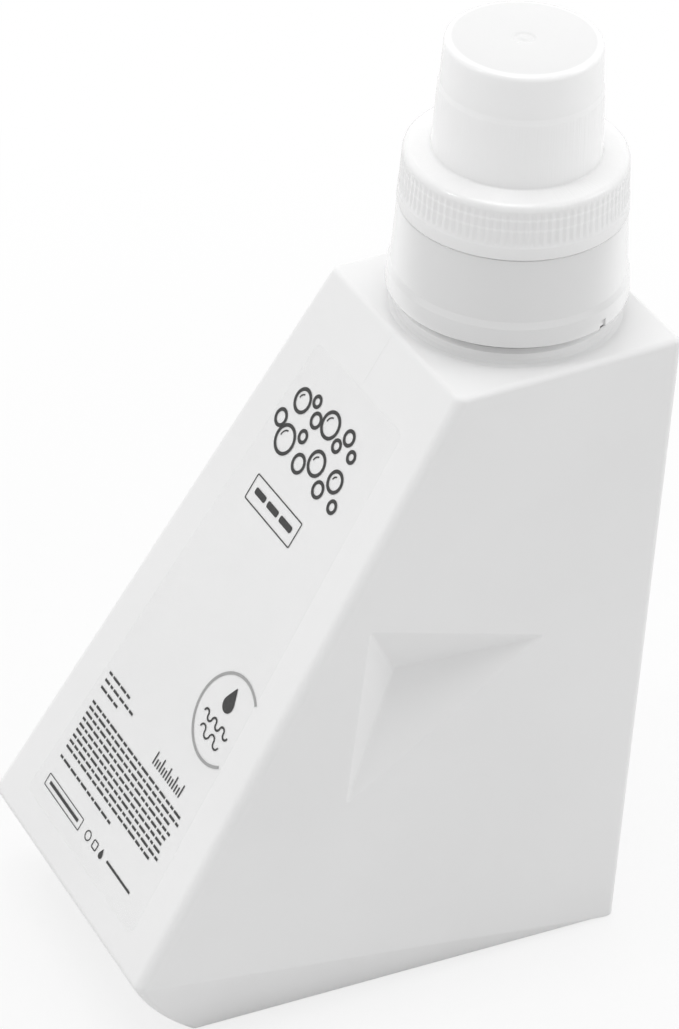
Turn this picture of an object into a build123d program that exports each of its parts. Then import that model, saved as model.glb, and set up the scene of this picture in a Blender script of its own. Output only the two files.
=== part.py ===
from build123d import *
from math import atan, cos, degrees, radians, sin, tan
import os

# A refillable bottle for laundry liquid, with a pouring collar and a measuring cap. Millimetres.
# It is modelled about the neck's axis (X = Y = 0), standing on Z = 0, with the sloping label face
# towards -Y, and moved at the end so that the middle of its footprint is the origin.

# Body: a wedge between a sloping front, two drafted sides and a near-upright back
BODY_HEIGHT = 150.0
TOP_SIDE_MARGIN = 4.5
TOP_END_MARGIN = 3.25
SIDE_DRAFT = 4.45
BACK_LEAN = 4.2
NOSE_REACH = 105.1
NOSE_HEIGHT = 24.0
FOOT_REACH = 88.0
FOOT_WIDTH = 63.8
CHIN_BULGE = 1.4
WALL = 1.3
FRONT_ROUND = 2.4
FOOT_ROUND = 2.0
TOP_ROUND = 1.4

# Triangular dent in each side: its corners, as distance behind the front face and height. The wall
# factor turns the wall's thickness into a distance along the side's normal, and the overrun carries the
# cutting form on past the side face.
DENT_TOP_FRONT = (10.7, 99.2)
DENT_TOP_BACK = (62.4, 85.0)
DENT_LOW_FRONT = (31.1, 56.4)
DENT_APEX = (31.7, 81.3)
DENT_DEPTH = 8.5
DENT_ROUND = 1.0
DENT_WALL_FACTOR = 1.2
DENT_OVERRUN = 1.6

# Hollow under the base, with the pinch-off seam of the blow mould across it
BASE_MARGIN = 9.0
BASE_HOLLOW = 1.4
BASE_CORNER = 6.0
BASE_TAPER = 20.0
SEAM_WIDTH = 0.9
SEAM_HEIGHT = 0.6

# Shoulder boss and neck, with heights above the top face
NECK_RADIUS = 21.3
NECK_WALL = 1.6
NECK_HEIGHT = 24.0
NECK_ROUND = 0.5
BOSS_STEP = 2.7
BOSS_HEIGHT = 3.4
BOSS_ROUND = 0.8
BOSS_FLARE = 1.2

# Pouring collar: ring, conical band, threaded lip, drain floor and spout
NECK_THREAD_ROOM = 1.45
BAND_WALL = 1.6
BAND_FLARE = 0.85
RING_STEP = 0.9
RING_BOTTOM = 5.3
RING_HEIGHT = 4.4
RING_SHOULDER = 1.5
RING_TAPER = 0.25
RING_ROUND = 0.5
RING_RELIEF = 0.9
NOTCH_WIDTH = 1.2
NOTCH_HEIGHT = 2.2
NOTCH_ANGLE = 20.0
DECK_THICKNESS = 1.6
LIP_THREAD_ROOM = 1.05
LIP_WALL = 1.4
PLUG_WALL = 1.2
PLUG_DEPTH = 4.0
PLUG_ROUND = 0.6
DRAIN_FALL = 2.2
SPOUT_RADIUS = 9.6
SPOUT_WALL = 1.4
SPOUT_TIP_WALL = 0.8
SPOUT_HEIGHT = 27.0
SPOUT_SLANT = 48.0
SPOUT_SLOT = 5.0

# Measuring cap: bead, knurled skirt, ledge, seal and cup
SKIRT_WALL = 1.3
SKIRT_TAPER = 0.6
BEAD_HEIGHT = 2.8
BEAD_PROUD = 0.15
LEDGE_HEIGHT = 12.3
LEDGE_ROUND = 1.5
LEDGE_THICKNESS = 1.3
LEDGE_RISE = 0.5
LEDGE_WIDTH = 5.8
SEAL_WALL = 1.1
SEAL_DEPTH = 3.5
CUP_WALL = 1.2
CUP_HEIGHT = 25.8
CUP_LOW_TAPER = 0.7
CUP_LOW_HEIGHT = 15.4
CUP_STEP = 0.3
CUP_HIGH_TAPER = 0.55
CUP_ROUND = 1.3
GATE_RADIUS = 2.4
GATE_DEPTH = 0.4
NUB_RADIUS = 0.7
KNURL_COUNT = 92
KNURL_WIDTH = 0.6
KNURL_DEPTH = 0.25
KNURL_OVERLAP = 0.05

# Clear label on the front face, set in from the face's edges
LABEL_TOP = 14.0
LABEL_BOTTOM = 7.0
LABEL_SIDE = 10.4
LABEL_THICKNESS = 0.12
LABEL_ROUND = 2.0

# Fits between the pieces
PLUG_CLEARANCE = 0.10
SLIP_CLEARANCE = 0.30
BREAK_EDGE = 0.3
TWO_FLATS_FROM = 1.0

# Worked out from the sizes above
BOSS_RADIUS = NECK_RADIUS + BOSS_STEP
TOP_WIDTH = 2 * (BOSS_RADIUS + TOP_SIDE_MARGIN)
TOP_DEPTH = 2 * (BOSS_RADIUS + TOP_END_MARGIN)
DRAFT = radians(SIDE_DRAFT)
LEAN = radians(BACK_LEAN)
LABEL_RUN = (NOSE_REACH - TOP_DEPTH / 2) / (BODY_HEIGHT - NOSE_HEIGHT)
CHIN_RUN = (NOSE_REACH - FOOT_REACH) / NOSE_HEIGHT
LABEL_ANGLE = atan(LABEL_RUN)
CHIN_ANGLE = atan(CHIN_RUN)
NECK_BORE = NECK_RADIUS - NECK_WALL
COLLAR_BORE = NECK_RADIUS + NECK_THREAD_ROOM
BAND_RADIUS = COLLAR_BORE + BAND_WALL
SKIRT_TOP_RADIUS = BAND_RADIUS - SKIRT_TAPER
SKIRT_BORE = SKIRT_TOP_RADIUS - SKIRT_WALL
LIP_RADIUS = SKIRT_BORE - LIP_THREAD_ROOM
LIP_BORE = LIP_RADIUS - LIP_WALL
CUP_FOOT_RADIUS = SKIRT_TOP_RADIUS - LEDGE_WIDTH
NECK_TOP = BODY_HEIGHT + NECK_HEIGHT
BAND_TOP = NECK_TOP + DECK_THICKNESS
SKIRT_BOTTOM = BAND_TOP + SLIP_CLEARANCE
LEDGE_TOP = SKIRT_BOTTOM + LEDGE_HEIGHT
LEDGE_UNDER = LEDGE_TOP - LEDGE_THICKNESS
CAP_TOP = LEDGE_TOP + CUP_HEIGHT


def side_x(height, inset=0.0):
    """Half width of the body at a height, for a form that lies an inset inside the outer one."""
    return TOP_WIDTH / 2 + tan(DRAFT) * (BODY_HEIGHT - height) - inset / cos(DRAFT)


def back_y(height, inset=0.0):
    """Place of the back face at a height."""
    return TOP_DEPTH / 2 - tan(LEAN) * (BODY_HEIGHT - height) - inset / cos(LEAN)


def label_y(height, inset=0.0):
    """Place of the sloping front face at a height."""
    return -TOP_DEPTH / 2 - LABEL_RUN * (BODY_HEIGHT - height) + inset / cos(LABEL_ANGLE)


def chin_y(height, inset=0.0):
    """Place of the chin's chord, below the nose, at a height."""
    return -FOOT_REACH - CHIN_RUN * height + inset / cos(CHIN_ANGLE)


def nose_z(inset=0.0):
    """Height at which the front face and the chin meet."""
    return (chin_y(0, inset) - label_y(0, inset)) / (LABEL_RUN + CHIN_RUN)


def mirrored(point, side):
    """The point on the given side, +1 or -1, of the middle plane."""
    return Vector(side * point.X, point.Y, point.Z)


# Corners of the outer form on the +X side, before any rounding
TOP_FRONT = Vector(TOP_WIDTH / 2, -TOP_DEPTH / 2, BODY_HEIGHT)
TOP_BACK = Vector(TOP_WIDTH / 2, TOP_DEPTH / 2, BODY_HEIGHT)
NOSE = Vector(side_x(NOSE_HEIGHT), -NOSE_REACH, NOSE_HEIGHT)
FOOT = Vector(FOOT_WIDTH / 2, -FOOT_REACH, 0)
HEEL = Vector(side_x(0), back_y(0), 0)


def wedge_form(inset=0.0):
    """The body's faceted form, as a side outline cut to width by two sides and two long bevels."""
    top = BODY_HEIGHT - inset
    foot = (chin_y(inset, inset), inset)
    nose = (label_y(nose_z(inset), inset), nose_z(inset))
    front = Polyline(nose, (label_y(top, inset), top), (back_y(top, inset), top),
                     (back_y(inset, inset), inset), foot)
    chin = SagittaArc(foot, nose, CHIN_BULGE)
    form = extrude(Plane.YZ * make_face(front + chin), TOP_WIDTH * 2, both=True)
    slope = (FOOT - HEEL).cross(NOSE - HEEL).normalized()
    slope = slope if slope.X > 0 else -slope
    for side in (1, -1):
        outward = Vector(side * cos(DRAFT), 0, sin(DRAFT))
        form = cut_beyond(form, mirrored(TOP_FRONT, side), outward, inset)
        form = cut_beyond(form, mirrored(HEEL, side), mirrored(slope, side), inset)
    return form


def cut_beyond(form, point, outward, inset):
    """Removes what lies outside a plane through the point, moved inwards by the inset."""
    return split(form, bisect_by=Plane(origin=point - outward * inset, z_dir=outward), keep=Keep.BOTTOM)


def edge_between(form, start, end):
    """The form's edge whose middle is nearest to the middle of two corners."""
    middle = (start + end) * 0.5
    return form.edges().sort_by(lambda edge: (edge.center() - middle).length)[0]


def both_sides(start, end):
    """The pair of corners and its mirror image."""
    return [(start, end), (mirrored(start, -1), mirrored(end, -1))]


def across(corner):
    """A corner and its mirror image, as the ends of an edge that runs across the body."""
    return [(corner, mirrored(corner, -1))]


def rounded(form, pairs, radius):
    """Rounds the edges that run between the given pairs of corners."""
    return fillet([edge_between(form, start, end) for start, end in pairs], radius)


def rounded_wedge(inset=0.0):
    """The faceted form with its two front edges rounded, which is all that the inside needs."""
    return rounded(wedge_form(inset), both_sides(NOSE, TOP_FRONT), FRONT_ROUND - inset)


def outer_wedge():
    """The outer form with soft front edges, small radii round the foot and a fine one at the top."""
    low = both_sides(NOSE, HEEL) + both_sides(FOOT, HEEL) + both_sides(NOSE, FOOT)
    low += both_sides(HEEL, TOP_BACK) + across(NOSE) + across(FOOT) + across(HEEL)
    form = rounded(rounded_wedge(), low, FOOT_ROUND)
    top = both_sides(TOP_FRONT, TOP_BACK) + across(TOP_FRONT) + across(TOP_BACK)
    return rounded(form, top, TOP_ROUND)


def side_point(behind, height, depth=0.0):
    """A point on the +X side face, or a depth below it, at a distance behind the front face."""
    return Vector(side_x(height, depth), label_y(height) + behind, height)


def dent_corners():
    """The dent's apex and its three corners on the +X side face."""
    rims = [side_point(*DENT_TOP_FRONT), side_point(*DENT_TOP_BACK), side_point(*DENT_LOW_FRONT)]
    return side_point(*DENT_APEX, DENT_DEPTH), rims


def dent_pyramid(side, wall=0.0):
    """The three-sided hollow in a side, or what it takes from the inside behind a wall."""
    apex, rims = dent_corners()
    inward = Vector(-cos(DRAFT), 0, -sin(DRAFT)) * wall * DENT_WALL_FACTOR
    corners = [apex + inward + (rim - apex) * DENT_OVERRUN for rim in rims]
    base = [mirrored(corner, side) for corner in corners]
    tip = mirrored(apex + inward, side)
    sides = [Face(Wire.make_polygon([tip, base[i - 1], base[i]])) for i in range(len(base))]
    return Solid(Shell(sides + [Face(Wire.make_polygon(base))]))


def round_dents(form):
    """Softens the rim and the creases of both dents."""
    apex, rims = dent_corners()
    pairs = [pair for i in range(len(rims)) for pair in both_sides(rims[i - 1], rims[i])]
    pairs += [pair for rim in rims for pair in both_sides(apex, rim)]
    return rounded(form, pairs, DENT_ROUND)


def eased(before, corner, after, radius):
    """A corner cut to flats that touch an arc of the radius, one flat if it is small and two if not."""
    back = (before - corner).normalized()
    ahead = (after - corner).normalized()
    half = back.get_angle(ahead) / 2
    reach = radius / tan(radians(half))
    ends = [corner + back * reach, corner + ahead * reach]
    if radius < TWO_FLATS_FROM:
        return ends
    middle = corner + (back + ahead).normalized() * radius * (1 / sin(radians(half)) - 1)
    return [ends[0], middle, ends[1]]


def turned(*corners):
    """A form turned about the neck's axis from corners (radius, height) or (radius, height, rounding)."""
    points = [Vector(*corner[:2]) for corner in corners]
    outline = []
    for i, corner in enumerate(corners):
        after = points[(i + 1) % len(points)]
        rounding = corner[2:]
        outline += eased(points[i - 1], points[i], after, *rounding) if rounding else [points[i]]
    return revolve(Plane.XZ * make_face(Polyline(*outline, close=True)), Axis.Z)


def base_block(margin, height):
    """A low block with drafted sides on the base's outline, inset by a margin."""
    outline = Polyline((FOOT.X, FOOT.Y), (HEEL.X, HEEL.Y), (-HEEL.X, HEEL.Y), (-FOOT.X, FOOT.Y), close=True)
    plan = offset(make_face(outline), -margin, kind=Kind.INTERSECTION)
    plan = fillet(plan.vertices(), BASE_CORNER)
    return extrude(plan, height, taper=BASE_TAPER)


def base_seam():
    """The pinch-off seam, a low rib along the middle of the hollow's roof."""
    length = FOOT_REACH + HEEL.Y - 2 * BASE_MARGIN
    middle = (HEEL.Y - FOOT_REACH) / 2
    height = SEAM_HEIGHT + WALL / 2
    rib = Box(SEAM_WIDTH, length, height, align=(Align.CENTER, Align.CENTER, Align.MIN))
    return Pos(0, middle, BASE_HOLLOW - SEAM_HEIGHT) * rib


def neck_form():
    """The shoulder boss with its soft foot, and the neck above it."""
    foot = BODY_HEIGHT - WALL
    land = BOSS_RADIUS + min(TOP_SIDE_MARGIN, TOP_END_MARGIN) - TOP_ROUND
    step = BODY_HEIGHT + BOSS_HEIGHT
    return turned((0, foot), (land, foot), (land, BODY_HEIGHT), (BOSS_RADIUS, BODY_HEIGHT, BOSS_FLARE),
                  (BOSS_RADIUS, step, BOSS_ROUND), (NECK_RADIUS, step, BOSS_ROUND),
                  (NECK_RADIUS, NECK_TOP, NECK_ROUND), (0, NECK_TOP))


def neck_channel():
    """The bore through the neck and the top wall."""
    foot = BODY_HEIGHT - 2 * WALL
    return turned((0, foot), (NECK_BORE, foot), (NECK_BORE, NECK_TOP), (0, NECK_TOP))


def bottle():
    """The blow-moulded bottle, one hollow wall that follows the dents and the hollow base."""
    outer = outer_wedge() - dent_pyramid(1) - dent_pyramid(-1)
    outer = round_dents(outer) - base_block(BASE_MARGIN, BASE_HOLLOW) + base_seam()
    inner = rounded_wedge(WALL) - dent_pyramid(1, WALL) - dent_pyramid(-1, WALL)
    inner -= base_block(BASE_MARGIN - WALL, BASE_HOLLOW + WALL)
    return outer + neck_form() - inner - neck_channel()


def collar_outline():
    """Corners of the collar's section: ring, band, lip, drain floor, plug and bore in turn."""
    ring = BODY_HEIGHT + RING_BOTTOM
    ring_top = ring + RING_HEIGHT
    band_foot = BAND_RADIUS + BAND_FLARE
    ring_radius = band_foot + RING_STEP
    channel = SPOUT_RADIUS - SPOUT_WALL
    plug = NECK_BORE - PLUG_CLEARANCE
    floor = BAND_TOP + DRAIN_FALL
    return [(COLLAR_BORE + RING_RELIEF, ring), (ring_radius, ring, RING_ROUND),
            (ring_radius - RING_TAPER, ring_top, RING_ROUND), (band_foot, ring_top + RING_SHOULDER),
            (BAND_RADIUS, BAND_TOP, BREAK_EDGE), (LIP_RADIUS, BAND_TOP),
            (LIP_RADIUS, LEDGE_UNDER, BREAK_EDGE), (LIP_BORE, LEDGE_UNDER),
            (LIP_BORE, floor), (channel, BAND_TOP), (channel, NECK_TOP),
            (plug - PLUG_WALL, NECK_TOP), (plug - PLUG_WALL, NECK_TOP - PLUG_DEPTH),
            (plug, NECK_TOP - PLUG_DEPTH, PLUG_ROUND), (plug, NECK_TOP), (COLLAR_BORE, NECK_TOP),
            (COLLAR_BORE, ring_top), (COLLAR_BORE + RING_RELIEF, ring_top - RING_RELIEF)]


def spout():
    """The pouring trough: a tube cut off at a slant, highest in front, thin at its tip, open behind."""
    foot = BAND_TOP - DECK_THICKNESS / 2
    top = BAND_TOP + SPOUT_HEIGHT
    bore = SPOUT_RADIUS - SPOUT_WALL
    tip = bore + SPOUT_TIP_WALL
    tube = turned((bore, foot), (SPOUT_RADIUS, foot), (tip, top), (bore, top))
    slant = radians(SPOUT_SLANT)
    tube = split(tube, bisect_by=Plane(origin=(0, -tip, top), z_dir=(0, sin(slant), cos(slant))),
                 keep=Keep.BOTTOM)
    slot = Box(SPOUT_SLOT, SPOUT_RADIUS * 2, SPOUT_HEIGHT, align=(Align.CENTER, Align.MIN, Align.MIN))
    return tube - Pos(0, 0, BAND_TOP) * slot


def ring_notch():
    """The small notch in the ring's lower edge."""
    reach = BAND_RADIUS + BAND_FLARE
    cutter = Box(2 * RING_STEP, NOTCH_WIDTH, NOTCH_HEIGHT, align=(Align.MIN, Align.CENTER, Align.MIN))
    return Rot(0, 0, NOTCH_ANGLE) * Pos(reach, 0, BODY_HEIGHT + RING_BOTTOM) * cutter


def pouring_collar():
    """The collar that screws over the neck, with its plug, drain floor and spout in one moulding."""
    return turned(*collar_outline()) + spout() - ring_notch()


def skirt_radius(height):
    """Radius of the cap's tapered skirt, flush with the band's cone below it."""
    share = (height - SKIRT_BOTTOM) / LEDGE_HEIGHT
    return BAND_RADIUS - SKIRT_TAPER * share


def knurl_span():
    """Lowest and highest height of the ribs on the skirt."""
    return SKIRT_BOTTOM + BEAD_HEIGHT, LEDGE_TOP - LEDGE_ROUND


def cap_outline():
    """Corners of the cap's section: skirt, ledge and cup outside, then cup, seal and skirt inside."""
    low, high = knurl_span()
    recess = KNURL_DEPTH + KNURL_OVERLAP
    step = LEDGE_TOP + CUP_LOW_HEIGHT
    low_top = CUP_FOOT_RADIUS - CUP_LOW_TAPER
    high_foot = low_top - CUP_STEP
    crown = high_foot - CUP_HIGH_TAPER
    seal = LIP_BORE - PLUG_CLEARANCE
    seal_foot = LEDGE_UNDER - SEAL_DEPTH
    return [(SKIRT_BORE, SKIRT_BOTTOM),
            (skirt_radius(SKIRT_BOTTOM) + BEAD_PROUD, SKIRT_BOTTOM, BREAK_EDGE),
            (skirt_radius(low) + BEAD_PROUD, low, BEAD_PROUD), (skirt_radius(low) - recess, low),
            (skirt_radius(high) - recess, high), (skirt_radius(high), high),
            (SKIRT_TOP_RADIUS, LEDGE_TOP, LEDGE_ROUND), (CUP_FOOT_RADIUS, LEDGE_TOP + LEDGE_RISE, LEDGE_RISE),
            (low_top, step), (high_foot, step + CUP_STEP), (crown, CAP_TOP, CUP_ROUND), (0, CAP_TOP),
            (0, CAP_TOP - CUP_WALL), (crown - CUP_WALL, CAP_TOP - CUP_WALL, CUP_ROUND - CUP_WALL / 2),
            (CUP_FOOT_RADIUS - CUP_WALL, LEDGE_UNDER),
            (seal - SEAL_WALL, LEDGE_UNDER), (seal - SEAL_WALL, seal_foot), (seal, seal_foot, PLUG_ROUND),
            (seal, LEDGE_UNDER), (SKIRT_BORE, LEDGE_UNDER)]


def gate_dimple():
    """The round dimple that the moulding gate leaves in the crown, round a small nub."""
    floor = CAP_TOP - GATE_DEPTH
    return turned((NUB_RADIUS, floor), (GATE_RADIUS - GATE_DEPTH, floor), (GATE_RADIUS, CAP_TOP),
                  (NUB_RADIUS, CAP_TOP))


def knurl_section(height):
    """The knurl's outline at a height: flat-topped ribs with a V groove between each two."""
    crest = skirt_radius(height)
    pitch = 360 / KNURL_COUNT
    half_rib = (pitch - degrees(KNURL_WIDTH / crest)) / 2
    corners = []
    for i in range(KNURL_COUNT):
        for radius, angle in ((crest, -half_rib), (crest, half_rib), (crest - KNURL_DEPTH, pitch / 2)):
            turn = radians(i * pitch + angle)
            corners.append((radius * cos(turn), radius * sin(turn)))
    return Pos(0, 0, height) * make_face(Polyline(*corners, close=True))


def knurled_band():
    """The ribbed ring that stands in the skirt's shallow recess, for a wet hand to grip."""
    low, high = knurl_span()
    core = skirt_radius(high) - SKIRT_WALL / 2
    ribs = loft([knurl_section(low), knurl_section(high)], ruled=True)
    return ribs - Pos(0, 0, (low + high) / 2) * Cylinder(core, 2 * (high - low))


def measuring_cap():
    """The cup-shaped cap: a cup with a ledge, a seal ring under it and a knurled skirt."""
    return turned(*cap_outline()) + knurled_band() - gate_dimple()


def front_plane():
    """A plane on the front face, with its origin in the middle of the top edge and Y up the slope."""
    return Plane(origin=(0, -TOP_DEPTH / 2, BODY_HEIGHT), x_dir=(1, 0, 0),
                 z_dir=(0, -cos(LABEL_ANGLE), sin(LABEL_ANGLE)))


def front_half_width(down):
    """Half width of the front face at a distance down its slope."""
    return TOP_WIDTH / 2 + tan(DRAFT) * cos(LABEL_ANGLE) * down


def label():
    """The clear label: a thin film whose sides run parallel to the front face's edges."""
    low = (BODY_HEIGHT - NOSE_HEIGHT) / cos(LABEL_ANGLE) - LABEL_BOTTOM
    wide_top = front_half_width(LABEL_TOP) - LABEL_SIDE
    wide_low = front_half_width(low) - LABEL_SIDE
    corners = [(-wide_top, -LABEL_TOP), (wide_top, -LABEL_TOP), (wide_low, -low), (-wide_low, -low)]
    outline = FilletPolyline(corners, radius=LABEL_ROUND, close=True)
    return extrude(front_plane() * make_face(outline), LABEL_THICKNESS)


def main():
    """Builds each piece, sets the origin under the middle of the bottle and writes the files."""
    os.makedirs("parts", exist_ok=True)
    pieces = {"bottle": bottle(), "pouring_collar": pouring_collar(), "measuring_cap": measuring_cap(),
              "label": label()}
    box = pieces["bottle"].bounding_box()
    to_origin = Pos(0, -(box.min.Y + box.max.Y) / 2, 0)
    for name, piece in pieces.items():
        export_step(to_origin * piece, f"parts/{name}.step")
        print(name, round(piece.volume, 1), "neck axis at Y", round(to_origin.position.Y, 4))


main()
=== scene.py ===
"""Looks of a bottle for laundry liquid, with its pouring collar, measuring cap and clear label.

Sizes are in millimetres and are turned into metres when a piece is finished. The frame is that of the
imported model: +Z is up and the label faces -Y. Turned pieces are drawn about Z and moved to the neck's axis.
"""

import logging
import math
from dataclasses import dataclass, field
from enum import Enum
from typing import Any, Callable, Optional, Sequence

import bmesh
import bpy
from bmesh.types import BMesh, BMVert
from mathutils import Matrix, Vector


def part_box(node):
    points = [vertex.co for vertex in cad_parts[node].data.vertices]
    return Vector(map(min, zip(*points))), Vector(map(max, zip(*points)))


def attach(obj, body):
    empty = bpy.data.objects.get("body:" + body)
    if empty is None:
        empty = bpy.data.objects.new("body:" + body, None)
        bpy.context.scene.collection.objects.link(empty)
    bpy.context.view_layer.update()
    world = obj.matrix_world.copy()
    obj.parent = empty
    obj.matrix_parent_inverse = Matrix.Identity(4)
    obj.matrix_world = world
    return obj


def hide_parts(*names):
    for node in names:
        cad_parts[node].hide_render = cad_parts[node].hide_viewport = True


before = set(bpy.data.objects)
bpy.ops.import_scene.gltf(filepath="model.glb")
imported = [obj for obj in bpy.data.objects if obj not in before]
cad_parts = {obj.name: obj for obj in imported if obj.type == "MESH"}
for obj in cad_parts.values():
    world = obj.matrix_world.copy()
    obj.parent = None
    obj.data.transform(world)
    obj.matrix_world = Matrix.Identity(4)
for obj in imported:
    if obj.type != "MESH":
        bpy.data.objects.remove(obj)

log = logging.getLogger("laundry_bottle")
MM = 0.001
MERGE = 0.0005
SHARP_FROM = math.radians(32.0)
TOP_FACE = 150.0
RING_FOOT = 155.3
RING_TOP = 159.7
NECK_TOP = 174.0
BAND_TOP = 175.6
SKIRT_FOOT = 175.72
LIP_TOP = 186.9
LEDGE_TOP = 188.2
SPOUT_TIP = 202.6
CROWN_TOP = 214.0
NECK_RADIUS = 21.3
COLLAR_BORE = 22.75
LIP_RADIUS = 21.4
SPOUT_BORE = 8.2
FACE_FRONT = 27.25
FACE_SLOPE = 31.71
Corner = tuple[float, ...]
Extra = Callable[["Shader"], "Value"]


class Body(Enum):
    """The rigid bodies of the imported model."""

    BOTTLE = "bottle_body"
    COLLAR = "collar_body"
    CAP = "cap_body"


class Slot(Enum):
    """The material slots of the record."""

    BOTTLE = "bottle"
    COLLAR = "collar"
    CAP = "cap"
    LABEL = "label"


class Value:
    """A shader socket whose operators add Math nodes."""

    def __init__(self, shader: "Shader", socket: bpy.types.NodeSocket) -> None:
        """Wraps an output socket.

        Args:
            shader: The tree that the socket belongs to.
            socket: The output socket.
        """
        self.shader = shader
        self.socket = socket

    def _math(self, operation: str, first: Any, second: Any = 0.0) -> "Value":
        """Adds a Math node on two values or numbers."""
        return self.shader.node("ShaderNodeMath", {"operation": operation}, {0: first, 1: second})

    def __add__(self, other: Any) -> "Value":
        """Adds a value or a number."""
        return self._math("ADD", self, other)

    __radd__ = __add__

    def __sub__(self, other: Any) -> "Value":
        """Takes a value or a number away."""
        return self._math("SUBTRACT", self, other)

    def __rsub__(self, other: Any) -> "Value":
        """Takes this value away from a number."""
        return self._math("SUBTRACT", other, self)

    def __mul__(self, other: Any) -> "Value":
        """Multiplies by a value or a number."""
        return self._math("MULTIPLY", self, other)

    __rmul__ = __mul__

    def larger(self, other: Any) -> "Value":
        """The larger of two values."""
        return self._math("MAXIMUM", self, other)

    def root(self) -> "Value":
        """The square root."""
        return self._math("SQRT", self)

    def turn_from(self, other: "Value") -> "Value":
        """The angle of the point (other, self), in radians."""
        return self._math("ARCTAN2", self, other)

    def ramp(self, low: float, high: float, start: float = 0.0, end: float = 1.0) -> "Value":
        """Maps the span from low to high onto the span from start to end, softly, and clamps it.

        Args:
            low: Where the ramp starts.
            high: Where it ends.
            start: The result at and before low.
            end: The result at and after high.

        Returns:
            The mapped value.
        """
        places = {"Value": self, "From Min": low, "From Max": high, "To Min": start, "To Max": end}
        return self.shader.node("ShaderNodeMapRange", {"interpolation_type": "SMOOTHSTEP"}, places)


class Shader:
    """A node tree, with one method that adds any node."""

    def __init__(self, tree: bpy.types.NodeTree) -> None:
        """Starts on an empty tree.

        Args:
            tree: The tree of a material or of the world.
        """
        self.tree = tree
        self.tree.nodes.clear()

    def node(self, kind: str, settings: dict[str, Any], sockets: dict[Any, Any], out: Any = 0) -> Value:
        """Adds a node.

        Args:
            kind: The node's type name.
            settings: Properties that are set before the sockets.
            sockets: Input sockets by name or number, each with a value or a link.
            out: The output socket that is returned, by name or number.

        Returns:
            The chosen output.
        """
        made = self.tree.nodes.new(kind)
        for name, value in settings.items():
            setattr(made, name, value)
        for name, value in sockets.items():
            if isinstance(value, Value):
                self.tree.links.new(value.socket, made.inputs[name])
            else:
                made.inputs[name].default_value = value
        return Value(self, made.outputs[out] if made.outputs else None)

    def place(self) -> tuple[Value, Value, Value]:
        """The X, Y and Z of the object's own coordinates."""
        point = self.node("ShaderNodeTexCoord", {}, {}, "Object")
        parts = self.node("ShaderNodeSeparateXYZ", {}, {0: point}).socket.node
        return Value(self, parts.outputs[0]), Value(self, parts.outputs[1]), Value(self, parts.outputs[2])

    def noise(self, scale: float, detail: float = 2.0, point: Optional[Value] = None) -> Value:
        """Noise on the object's own coordinates, or on a given point.

        Args:
            scale: Features per metre.
            detail: Octaves.
            point: The point, where it isn't the object's own.

        Returns:
            The noise, about 0 to 1.
        """
        point = point or self.node("ShaderNodeTexCoord", {}, {}, "Object")
        return self.node("ShaderNodeTexNoise", {}, {"Vector": point, "Scale": scale, "Detail": detail})

    def blend(self, factor: Any, first: Any, second: Any) -> Value:
        """Mixes two colours by a factor."""
        return self.node("ShaderNodeMix", {"data_type": "RGBA"}, {0: factor, 6: first, 7: second}, 2)

    def flanks(self, high: float) -> Value:
        """Grows to 1 where a wall is seen on edge, the mask of a painted sheen; high is where it gets there.
        """
        return self.node("ShaderNodeLayerWeight", {}, {"Blend": 0.5}, "Facing").ramp(0.3, high)

    def bump(self, height: Value) -> Value:
        """A bumped normal, for a height in metres."""
        return self.node("ShaderNodeBump", {}, {"Height": height, "Distance": 1.0})

    def ray(self, name: str) -> Value:
        """An output of the Light Path node."""
        return self.node("ShaderNodeLightPath", {}, {}, name)

    def finish(self, kind: str, surface: Value) -> None:
        """Adds the output node for a surface."""
        self.node(kind, {}, {"Surface": surface})


def grey(level: float) -> tuple[float, float, float, float]:
    """A neutral colour of a linear level."""
    return (level, level, level, 1.0)


def heading(azimuth: float, elevation: float) -> Vector:
    """The direction towards a place in the studio.

    Args:
        azimuth: Its direction about the vertical, in degrees from -Y towards +X.
        elevation: Its height above the horizon, in degrees.

    Returns:
        The direction, of length 1.
    """
    a, e = math.radians(azimuth), math.radians(elevation)
    return Vector((math.sin(a) * math.cos(e), -math.cos(a) * math.cos(e), math.sin(e)))


def new_material(name: str) -> tuple[bpy.types.Material, Shader]:
    """Makes a material with an empty tree.

    Args:
        name: The material's name.

    Returns:
        The material and its shader.
    """
    material = bpy.data.materials.new(name)
    material.use_nodes = True
    return material, Shader(material.node_tree)


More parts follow.
